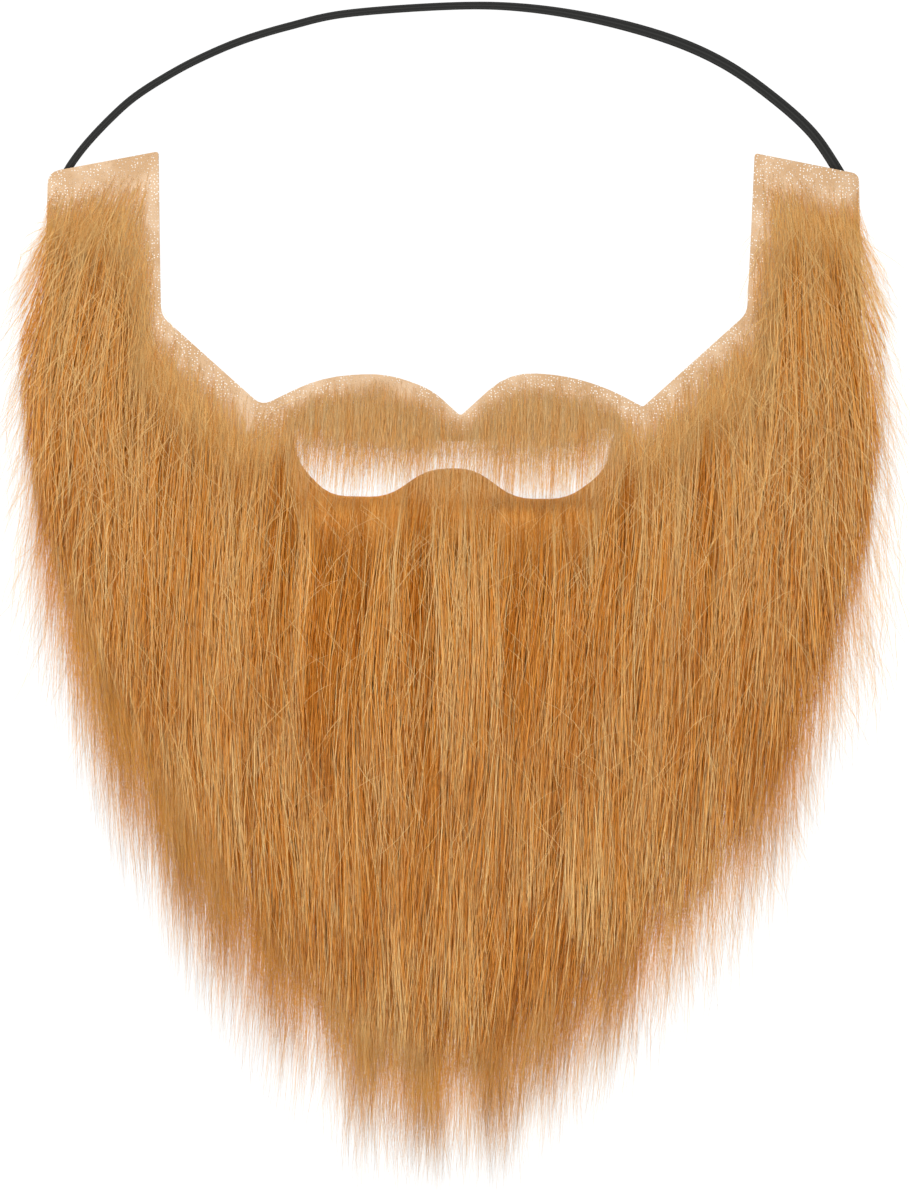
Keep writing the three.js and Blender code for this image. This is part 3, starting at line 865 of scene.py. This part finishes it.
# %% Moustache strands, with turns in degrees and radii in millimetres
MOUSTACHE_TRIES = 27000
MOUSTACHE_BARE = (-2 * MM, 14 * MM)
MOUSTACHE_ENDS = {"high": 84.5 * MM, "left_fade": 11.5 * MM, "right_fade": 16.5 * MM, "low": 50 * MM,
                  "shortest": 7 * MM}
MOUSTACHE_TURN = 2.5
MOUSTACHE_WAVE = (0.5, 3)
MOUSTACHE_PULL = 0.3
MOUSTACHE_SWELL = {"height": 3.2 * MM, "fall": 1.4, "range": (0.3, 1.3)}
MOUSTACHE_BORDER = (1 * MM, 13 * MM)
MOUSTACHE_RADIUS = {"range": (0.026, 0.052), "border": 0.6}
MOUSTACHE_TONE = {"middle": 0.55, "streak": 0.1, "border": 0.2}
MOUSTACHE_STOPS = np.array([0, 0.7, 1])
MOUSTACHE_TAPER = np.array([0.7, 1])
BRIDGE = {"tries": 1500, "half_width": 17 * MM, "high": 88 * MM, "bare": (-4 * MM, 4 * MM)}

box_low = (-MOUSTACHE_AREA["half_width"] - SEAM, MOUSTACHE_AREA["low"])
box_high = (MOUSTACHE_AREA["half_width"] + SEAM, MOUSTACHE_AREA["high"])
lobes = roots(MOUSTACHE_TRIES, box_low, box_high, MOUSTACHE_BARE)
bridge = roots(BRIDGE["tries"], (-BRIDGE["half_width"], MOUSTACHE_AREA["low"]),
               (BRIDGE["half_width"], BRIDGE["high"]), BRIDGE["bare"])
x, y, below = (np.append(*values) for values in zip(lobes, bridge))
_, streak = streaks.nearest(x, y)
fade = np.where(x < 0, MOUSTACHE_ENDS["left_fade"], MOUSTACHE_ENDS["right_fade"])
end_y = np.maximum(MOUSTACHE_ENDS["high"] - draw.exponential(fade), MOUSTACHE_ENDS["low"])
length = np.maximum(y - end_y, MOUSTACHE_ENDS["shortest"])
turn = np.radians(MOUSTACHE_TURN * draw.standard_normal(len(x)))
wave = np.radians(draw.uniform(*MOUSTACHE_WAVE, len(x)))
places = comb(x, y, length, turn, wave, [(streaks, MOUSTACHE_PULL)])
spine = resample(places, np.tile(MOUSTACHE_STOPS, (len(x), 1)))
swell = MOUSTACHE_SWELL["height"] * MOUSTACHE_STOPS * (MOUSTACHE_SWELL["fall"] - MOUSTACHE_STOPS)
height = CLOTH_TOP + FLOOR_CLEARANCE + swell * draw.uniform(*MOUSTACHE_SWELL["range"], (len(x), 1))
spine = np.concatenate([spine, height[..., None]], axis=-1)
border = smooth_step(below, *MOUSTACHE_BORDER)
thin = MOUSTACHE_RADIUS["border"] + (1 - MOUSTACHE_RADIUS["border"]) * border
radius = (MM * draw.uniform(*MOUSTACHE_RADIUS["range"], len(x)) * thin)[:, None] * MOUSTACHE_TAPER
tone = tones(len(x), MOUSTACHE_TONE["middle"], (MOUSTACHE_TONE["streak"], streak[:, 0]),
             (MOUSTACHE_TONE["border"], 1 - border))
moustache = hair_piece("moustache_hair", spine, radius, tone, "moustache_fur")
print(f"moustache: {len(x)} strands, {triangle_count(moustache)} triangles")

# %% [markdown]
# ## Wisps and flyaways
# Some hairs leave the crowd. Wisps reach past the ends of the fringe and lean outwards, and flyaways
# lie across the others in thin curves. They are what makes the outline soft and the surface alive.
# Beside the sideburns the roots of the wisps are moved onto the cloth, because hair can't start in the
# air.

# %% Wisps, with leans in degrees, lengths, heights and radii in millimetres
WISP_COUNT = 3200
WISP_FROM_TOP = 8
WISP_HIGHEST = 149 * MM
WISP_ON_CLOTH = {"from": 100 * MM, "to": 122 * MM, "margin": 2 * MM, "tip": 0.4}
WISP_LEAN = {"outwards": (2, 26), "own": 4, "full_at": 120 * MM}
WISP_PAST = (-9, 22)
WISP_SPREAD = {"least": 3.5, "more": 10.5, "middle": 5 * MM, "width": 32 * MM, "power": 1.5}
WISP_LENGTH = (25, 60)
WISP_BOW = 2
WISP_HEIGHT = {"range": (0.3, 3.5), "tip": 0.25}
WISP_RADIUS = (0.03, 0.055)
WISP_TONE = 0.85
WISP_STOPS = np.array([0, 0.55, 1])
WISP_TAPER = np.array([0.6, 1])

spot = ends[draw.integers(WISP_FROM_TOP, len(ends) - WISP_FROM_TOP, WISP_COUNT)]
outwards = np.clip(spot[:, 0] / WISP_LEAN["full_at"], -1, 1)
lean = read(lean_map, spot[:, 0], spot[:, 1]) + np.radians(
    outwards * draw.uniform(*WISP_LEAN["outwards"], WISP_COUNT)
    + WISP_LEAN["own"] * draw.standard_normal(WISP_COUNT))
way = np.column_stack([np.sin(lean), -np.cos(lean)])
tip = spot + way * (MM * draw.uniform(*WISP_PAST, WISP_COUNT))[:, None]
near = np.exp(-((spot[:, 1] - WISP_SPREAD["middle"]) / WISP_SPREAD["width"])**2)
spread = WISP_SPREAD["least"] + WISP_SPREAD["more"] * near
tip[:, 0] += MM * outwards * spread * draw.random(WISP_COUNT)**WISP_SPREAD["power"]
length = np.minimum(MM * draw.uniform(*WISP_LENGTH, WISP_COUNT), WISP_HIGHEST - tip[:, 1])
bow = MM * WISP_BOW * draw.standard_normal(WISP_COUNT)
bow = np.column_stack([way[:, 1], -way[:, 0]]) * bow[:, None]
back = (1 - WISP_STOPS)[None, :, None]
flat = tip[:, None] - way[:, None] * length[:, None, None] * back
flat = flat + bow[:, None] * np.sin(np.pi * WISP_STOPS)[None, :, None]
root_x, root_y = flat[:, 0].T
beside = np.clip(WISP_ON_CLOTH["margin"] - read(cloth_depth, root_x, root_y), 0, None)
beside = beside * smooth_step(root_y, WISP_ON_CLOTH["from"], WISP_ON_CLOTH["to"])
follow = 1 - (1 - WISP_ON_CLOTH["tip"]) * WISP_STOPS
flat[..., 0] -= (np.sign(spot[:, 0]) * beside)[:, None] * follow
height = MM * draw.uniform(*WISP_HEIGHT["range"], (WISP_COUNT, 1))
height = FLOOR_CLEARANCE + height * (WISP_HEIGHT["tip"] + back[..., 0])
height = np.maximum(height, ground_height(flat[..., 0], flat[..., 1]))
spine = np.concatenate([flat, height[..., None]], axis=-1)
radius = MM * draw.uniform(*WISP_RADIUS, WISP_COUNT)[:, None] * WISP_TAPER
wisp_hair = hair_piece("wisps", spine, radius, tones(WISP_COUNT, WISP_TONE), "beard_fur")
print(f"wisps: {WISP_COUNT} strands, {triangle_count(wisp_hair)} triangles")

# %% Top of the pile
pile_top = ground_height(grid_x, grid_y).reshape(cloth_depth.shape)
for piece in beard_pieces:
    points = np.empty(3 * len(piece.data.vertices), np.float32)
    piece.data.vertices.foreach_get("co", points)
    points = points.reshape(-1, 3).astype(float)
    column, row = np.round((points[:, :2] - MAP_LOW) / MAP_STEP).astype(int).T
    for aside in np.ndindex(3, 3):
        np.maximum.at(pile_top, (row + aside[0] - 1, column + aside[1] - 1), points[:, 2])
print(f"pile: up to {pile_top.max() / MM:.1f} mm high")

# %% Flyaways, with leans in degrees, lengths, arches and radii in millimetres
FLYAWAY_TRIES = 9500
FLYAWAY_LOWEST = -60 * MM
FLYAWAY_BARE = (3 * MM, 13 * MM)
FLYAWAY_CHANCE = {"least": 0.12, "from": 10 * MM, "to": 105 * MM}
FLYAWAY_LEAN = (8, 50)
FLYAWAY_CURL = (-70, 70)
FLYAWAY_LENGTH = (10, 30)
FLYAWAY_ARCH = {"rise": 1.1, "sunk": 0.1}
FLYAWAY_RADIUS = (0.045, 0.08)
FLYAWAY_TONE = 0.95
FLYAWAY_STOPS = np.linspace(0, 1, 5)
FLYAWAY_TAPER = np.array([0.6, 1, 1, 0.8])

x, y, _ = roots(FLYAWAY_TRIES, (cloth_low.x, FLYAWAY_LOWEST), cloth_high, FLYAWAY_BARE)
chance = smooth_step(y, FLYAWAY_CHANCE["from"], FLYAWAY_CHANCE["to"])
chance = FLYAWAY_CHANCE["least"] + (1 - FLYAWAY_CHANCE["least"]) * chance
high_up = draw.random(len(x)) < chance
x, y = x[high_up], y[high_up]
count = len(x)
lean = draw.choice([-1, 1], count) * draw.uniform(*FLYAWAY_LEAN, count)
lean = read(lean_map, x, y) + np.radians(lean)
curl = np.radians(draw.uniform(*FLYAWAY_CURL, count))
length = MM * draw.uniform(*FLYAWAY_LENGTH, count)
flat = [np.column_stack([x, y])]
for share in FLYAWAY_STOPS[:-1]:
    angle = lean + curl * (share - 0.5)
    step = np.column_stack([np.sin(angle), -np.cos(angle)]) * (length / len(FLYAWAY_TAPER))[:, None]
    flat.append(flat[-1] + step)
flat = np.stack(flat, axis=1)
arch = FLYAWAY_ARCH["rise"] * np.sin(np.pi * FLYAWAY_STOPS) - FLYAWAY_ARCH["sunk"]
height = read(pile_top, flat[..., 0], flat[..., 1]) + MM * arch
spine = np.concatenate([flat, height[..., None]], axis=-1)
radius = MM * draw.uniform(*FLYAWAY_RADIUS, count)[:, None] * FLYAWAY_TAPER
flyaway_hair = hair_piece("flyaways", spine, radius, tones(count, FLYAWAY_TONE), "beard_fur")
print(f"flyaways: {count} strands, {triangle_count(flyaway_hair)} triangles")

# %% [markdown]
# ## Finishes as expressions
# A finish is a small tree of nodes. Writing it as sums and products is easier to read than a list of
# links, so one class stands for a node's output and turns Python's operators into Math nodes, and one
# method adds any other node.

# %% Finish helper
class Value:
    """One output of a node; arithmetic on it adds Math nodes to its finish."""

    def __init__(self, finish, socket):
        self.finish = finish
        self.socket = socket

    def math(self, operation, *values):
        return self.finish.node("ShaderNodeMath", {"operation": operation}, dict(enumerate(values)))

    def __add__(self, other):
        return self.math("ADD", self, other)

    __radd__ = __add__

    def __sub__(self, other):
        return self.math("SUBTRACT", self, other)

    def __rsub__(self, other):
        return self.math("SUBTRACT", other, self)

    def __mul__(self, other):
        return self.math("MULTIPLY", self, other)

    __rmul__ = __mul__

    def __abs__(self):
        return self.math("ABSOLUTE", self)

    def sine(self):
        return self.math("SINE", self)

    def step(self, low, high):
        """Rises smoothly from 0 to 1 between two values."""
        return self.finish.node("ShaderNodeMapRange", {"interpolation_type": "SMOOTHSTEP"},
                                {"Value": self, "From Min": low, "From Max": high})


class Finish:
    """A material with one Principled shader."""

    def __init__(self, name, **constants):
        self.material = bpy.data.materials.new(name)
        self.material.use_nodes = True
        self.tree = self.material.node_tree
        self.shader = self.tree.nodes["Principled BSDF"]
        for socket, value in constants.items():
            self.shader.inputs[socket.replace("_", " ")].default_value = value

    def node(self, kind, settings, values, output=0):
        """Adds a node: first its settings, then the values or links of its sockets."""
        node = self.tree.nodes.new(kind)
        for setting, value in settings.items():
            if setting == "stops":
                self.set_stops(node.color_ramp, value)
            else:
                setattr(node, setting, value)
        for socket, value in values.items():
            self.give(node.inputs[socket], value)
        return Value(self, node.outputs[output])

    @staticmethod
    def set_stops(ramp, stops):
        while len(ramp.elements) < len(stops):
            ramp.elements.new(1)
        for element, (position, color) in zip(ramp.elements, stops):
            element.position = position
            element.color = (*color, 1)

    def give(self, socket, value):
        if isinstance(value, Value):
            self.tree.links.new(value.socket, socket)
        else:
            socket.default_value = value

    def parts(self, vector):
        """The x, y and z of a vector."""
        split = self.node("ShaderNodeSeparateXYZ", {}, {0: vector})
        return [Value(self, socket) for socket in split.socket.node.outputs]

    def mix(self, share, first, second, way="MIX"):
        return self.node("ShaderNodeMix", {"data_type": "RGBA", "blend_type": way},
                         {0: share, 6: first, 7: second}, 2)

    def bump(self, height, strength, depth):
        return self.node("ShaderNodeBump", {},
                         {"Height": height, "Strength": strength, "Distance": depth})

    def surface(self, **inputs):
        for socket, value in inputs.items():
            self.give(self.shader.inputs[socket.replace("_", " ")], value)


def linear(red, green, blue):
    """An opaque colour as a screen shows it, 0 to 255, in the shader's linear light."""
    parts = np.array([red, green, blue]) / 255
    return (*np.where(parts <= 0.04045, parts / 12.92, ((parts + 0.055) / 1.055)**2.4), 1)


# %% [markdown]
# ## Hair finish
# The hair is a synthetic fibre in tans from golden brown to straw. Each strand has one tone of its own,
# some darker specks, and a tip in another tone: paler on the long hair, and duller on the fringe and the
# moustache: painted shade, which offsets the light that the glowing table throws on their thin ends.
# Tone and tip come from the map that the strands carry, so the finish follows every strand wherever it
# lies.

# %% Hair finish
HAIR_ROUGHNESS = 0.6
TIP_FROM = 0.6
SPECK = {"scale": 40.0, "detail": 1.0, "from": 0.35, "to": 0.65, "share": 0.15, "color": (160, 96, 32)}


def hair_finish(name, stops, tip, tip_share):
    """Hair in the tones of the stops, with its tips mixed with another colour."""
    finish = Finish(name, Roughness=HAIR_ROUGHNESS, Specular_IOR_Level=0.0)
    strand = finish.node("ShaderNodeUVMap", {"uv_map": "strand"}, {})
    tone, along, _ = finish.parts(strand)
    color = finish.node("ShaderNodeValToRGB", {"stops": stops}, {0: tone})
    specks = finish.node("ShaderNodeTexNoise", {"noise_dimensions": "2D"},
                         {"Vector": strand, "Scale": SPECK["scale"], "Detail": SPECK["detail"]})
    specks = specks.step(SPECK["from"], SPECK["to"]) * SPECK["share"]
    color = finish.mix(specks, color, linear(*SPECK["color"]))
    color = finish.mix(along.step(TIP_FROM, 1) * tip_share, color, linear(*tip))
    finish.surface(Base_Color=color)
    return finish.material


beard_finish = hair_finish(
    "tan beard hair",
    [(0.1, (0.53, 0.16, 0.014)), (0.5, (0.88, 0.378, 0.067)), (0.9, (0.97, 0.64, 0.25)),
     (1.0, (0.985, 0.70, 0.32))],
    tip=(250, 222, 178), tip_share=0.15)
# The fringe's dull tip colour is painted shade: it offsets the light that the glowing table throws on
# the thin ends.
fringe_finish = hair_finish(
    "tan fringe hair",
    [(0.1, (0.82, 0.31, 0.04)), (0.6, (0.985, 0.52, 0.11)), (1.0, (0.985, 0.65, 0.25))],
    tip=(214, 188, 156), tip_share=0.65)
# The moustache's dark tip colour is painted shade: its thin ends hang over the glowing table, and the
# tip offsets that light.
moustache_finish = hair_finish(
    "tan moustache hair",
    [(0.1, (0.89, 0.41, 0.10)), (0.5, (0.976, 0.565, 0.185)), (0.9, (0.985, 0.73, 0.38))],
    tip=(172, 146, 114), tip_share=0.75)
for piece in (*beard_pieces, border_hair, flyaway_hair):
    piece.data.materials.append(beard_finish)
for piece in (fringe_hair, wisp_hair):
    piece.data.materials.append(fringe_finish)
moustache.data.materials.append(moustache_finish)
print("hair finishes:", [finish.name for finish in (beard_finish, fringe_finish, moustache_finish)])

# %% [markdown]
# ## Knit finish
# Seen close, the cloth is a warp knit with small open eyes, about a millimetre apart, in which the white
# table shows. The cells of a Voronoi texture stand about as far apart and as unevenly as in cloth that
# has been pulled about; the middle of each cell becomes an eye, and some are filled. Only the strip
# along the upper edges is bare: further in, the roots of the pile colour the knit brown.

# %% Knit finish
EYE_PITCH = 1.1 * MM
EYE_RADIUS = (0.10, 0.27)
EYE_UNEVEN = 0.75
EYES_FILLED = {"scale": 380.0, "detail": 2.0, "range": (0.36, 0.56)}
EYES_WORN = {"scale": 50.0, "detail": 2.0, "range": (0.30, 0.50)}
PATCH = {"scale": 90.0, "detail": 3.0, "range": (0.35, 0.7)}
PEACH_DARK, PEACH_PALE = linear(198, 160, 120), linear(216, 184, 150)
EYE_WHITE = linear(255, 248, 238)
ROOT_BROWN = linear(200, 134, 62)
ROOTED_SPAN = 150
ROOTED_UP_TO = [(0, 66), (50, 66), (66, 72), (98, 102), (105, 108), (112, 150), (ROOTED_SPAN, 150)]
ROOTED_FADE = 0.03
ROOTED_FACE = (1.0 * MM, 1.15 * MM)
KNIT_RELIEF = {"strength": 0.5, "depth": 0.3 * MM}

knit = Finish("peach knit", Roughness=0.9, Specular_IOR_Level=0.2)
place = knit.node("ShaderNodeTexCoord", {}, {}, 3)


def knit_noise(values):
    """Soft patches in the cloth, from 0 to 1."""
    noise = knit.node("ShaderNodeTexNoise", {},
                      {"Vector": place, "Scale": values["scale"], "Detail": values["detail"]})
    return noise.step(*values["range"])


eyes = knit.node("ShaderNodeTexVoronoi", {"voronoi_dimensions": "2D"},
                 {"Vector": place, "Scale": 1 / EYE_PITCH, "Randomness": EYE_UNEVEN})
open_eye = 1 - eyes.step(*EYE_RADIUS)
across, up, height = knit.parts(place)
limit = knit.node("ShaderNodeValToRGB",
                  {"stops": [(x / ROOTED_SPAN, (y / ROOTED_SPAN,) * 3) for x, y in ROOTED_UP_TO]},
                  {0: abs(across) * (1 / (ROOTED_SPAN * MM))})
rooted = (limit - up * (1 / (ROOTED_SPAN * MM))).step(-ROOTED_FADE, ROOTED_FADE)
rooted = rooted * height.step(*ROOTED_FACE)
color = knit.mix(knit_noise(PATCH), PEACH_DARK, PEACH_PALE)
color = knit.mix(open_eye * knit_noise(EYES_FILLED) * knit_noise(EYES_WORN), color, EYE_WHITE)
color = knit.mix(rooted, color, ROOT_BROWN)
relief = knit.bump(1 - open_eye, KNIT_RELIEF["strength"], KNIT_RELIEF["depth"])
knit.surface(Base_Color=color, Normal=relief)
cloth.data.materials.clear()
cloth.data.materials.append(knit.material)
print("knit finish:", knit.material.name)

# %% [markdown]
# ## Elastic finish
# The braid is black yarn over rubber. Its ribs are in the mesh; fine slanting threads across each rib
# come from a wave on the map that was made with the sweep. The crest of each rib is painted paler: a
# painted highlight along the ribs.

# %% Elastic finish
THREADS_PER_MM = 1.6
THREAD_SLANT = 3
THREAD_EDGE = (-0.6, 0.9)
THREAD_RELIEF = {"strength": 0.4, "depth": 0.1 * MM}
RIB_HIGHLIGHT_EDGE = (-0.2, 1)
BRAID_DARK, BRAID_PALE_THREAD_AND_HIGHLIGHT = linear(8, 8, 7), linear(44, 44, 42)

braid = Finish("black braid", Roughness=0.72, Specular_IOR_Level=0.35)
turns, millimetres, _ = braid.parts(braid.node("ShaderNodeUVMap", {"uv_map": "braid"}, {}))
slant = (turns * (2 * np.pi * THREAD_SLANT * RIB_COUNT)
         + millimetres * (2 * np.pi * THREADS_PER_MM)).sine()
# A painted highlight: the crest of each rib is mixed towards the pale colour, as if lit.
ridge = (turns * (2 * np.pi * RIB_COUNT) + 0.5 * np.pi).sine()
thread = slant.step(*THREAD_EDGE)
# The pale colour comes half from the slanting threads, a pattern of the yarn, and half from the painted
# highlight on the rib crests.
color = braid.mix(thread * 0.5 + ridge.step(*RIB_HIGHLIGHT_EDGE) * 0.5, BRAID_DARK, BRAID_PALE_THREAD_AND_HIGHLIGHT)
relief = braid.bump(thread, THREAD_RELIEF["strength"], THREAD_RELIEF["depth"])
braid.surface(Base_Color=color, Normal=relief)
for piece in (elastic, *sewn_ends):
    piece.data.materials.append(braid.material)
print("elastic finish:", braid.material.name)

# %% [markdown]
# ## Floor and light
# A white table and large soft lamps, as for a catalogue picture. The table glows, like a light table, so
# that no grey shadow spoils the white between the wisps; the key lamp is at the upper left, and the fill
# lights the lower half.

# %% Floor and light
FLOOR_HALF = 3.0
FLOOR_DROP = 0.05 * MM
FLOOR_GREY = 0.1
FLOOR_GLOW = 0.97
SKY = 0.6

bpy.ops.object.select_all(action="DESELECT")
bpy.ops.mesh.primitive_plane_add(size=2 * FLOOR_HALF, location=(0, 0, -FLOOR_DROP))
floor = bpy.context.active_object
floor.name = "floor"
white = Finish("white table", Roughness=0.8, Specular_IOR_Level=0.1,
               Base_Color=(FLOOR_GREY, FLOOR_GREY, FLOOR_GREY, 1),
               Emission_Color=(1, 1, 1, 1), Emission_Strength=FLOOR_GLOW)
floor.data.materials.append(white.material)

LAMPS = {
    "key": {"place": (-0.45, 0.5, 1.1), "size": 0.7, "power": 8.7},
    "fill": {"place": (0.3, -0.6, 1.1), "size": 0.9, "power": 6.4},
}
for name, lamp in LAMPS.items():
    data = bpy.data.lights.new(name, "AREA")
    data.size = lamp["size"]
    data.energy = lamp["power"]
    light = bpy.data.objects.new(name, data)
    light.location = lamp["place"]
    light.rotation_euler = (-Vector(lamp["place"])).to_track_quat("-Z", "Y").to_euler()
    scene.collection.objects.link(light)

world = bpy.data.worlds.new("studio")
world.use_nodes = True
sky = world.node_tree.nodes["Background"]
sky.inputs["Color"].default_value = (1, 1, 1, 1)
sky.inputs["Strength"].default_value = SKY
scene.world = world
scene.view_settings.view_transform = "Standard"
print("lamps:", ", ".join(LAMPS))
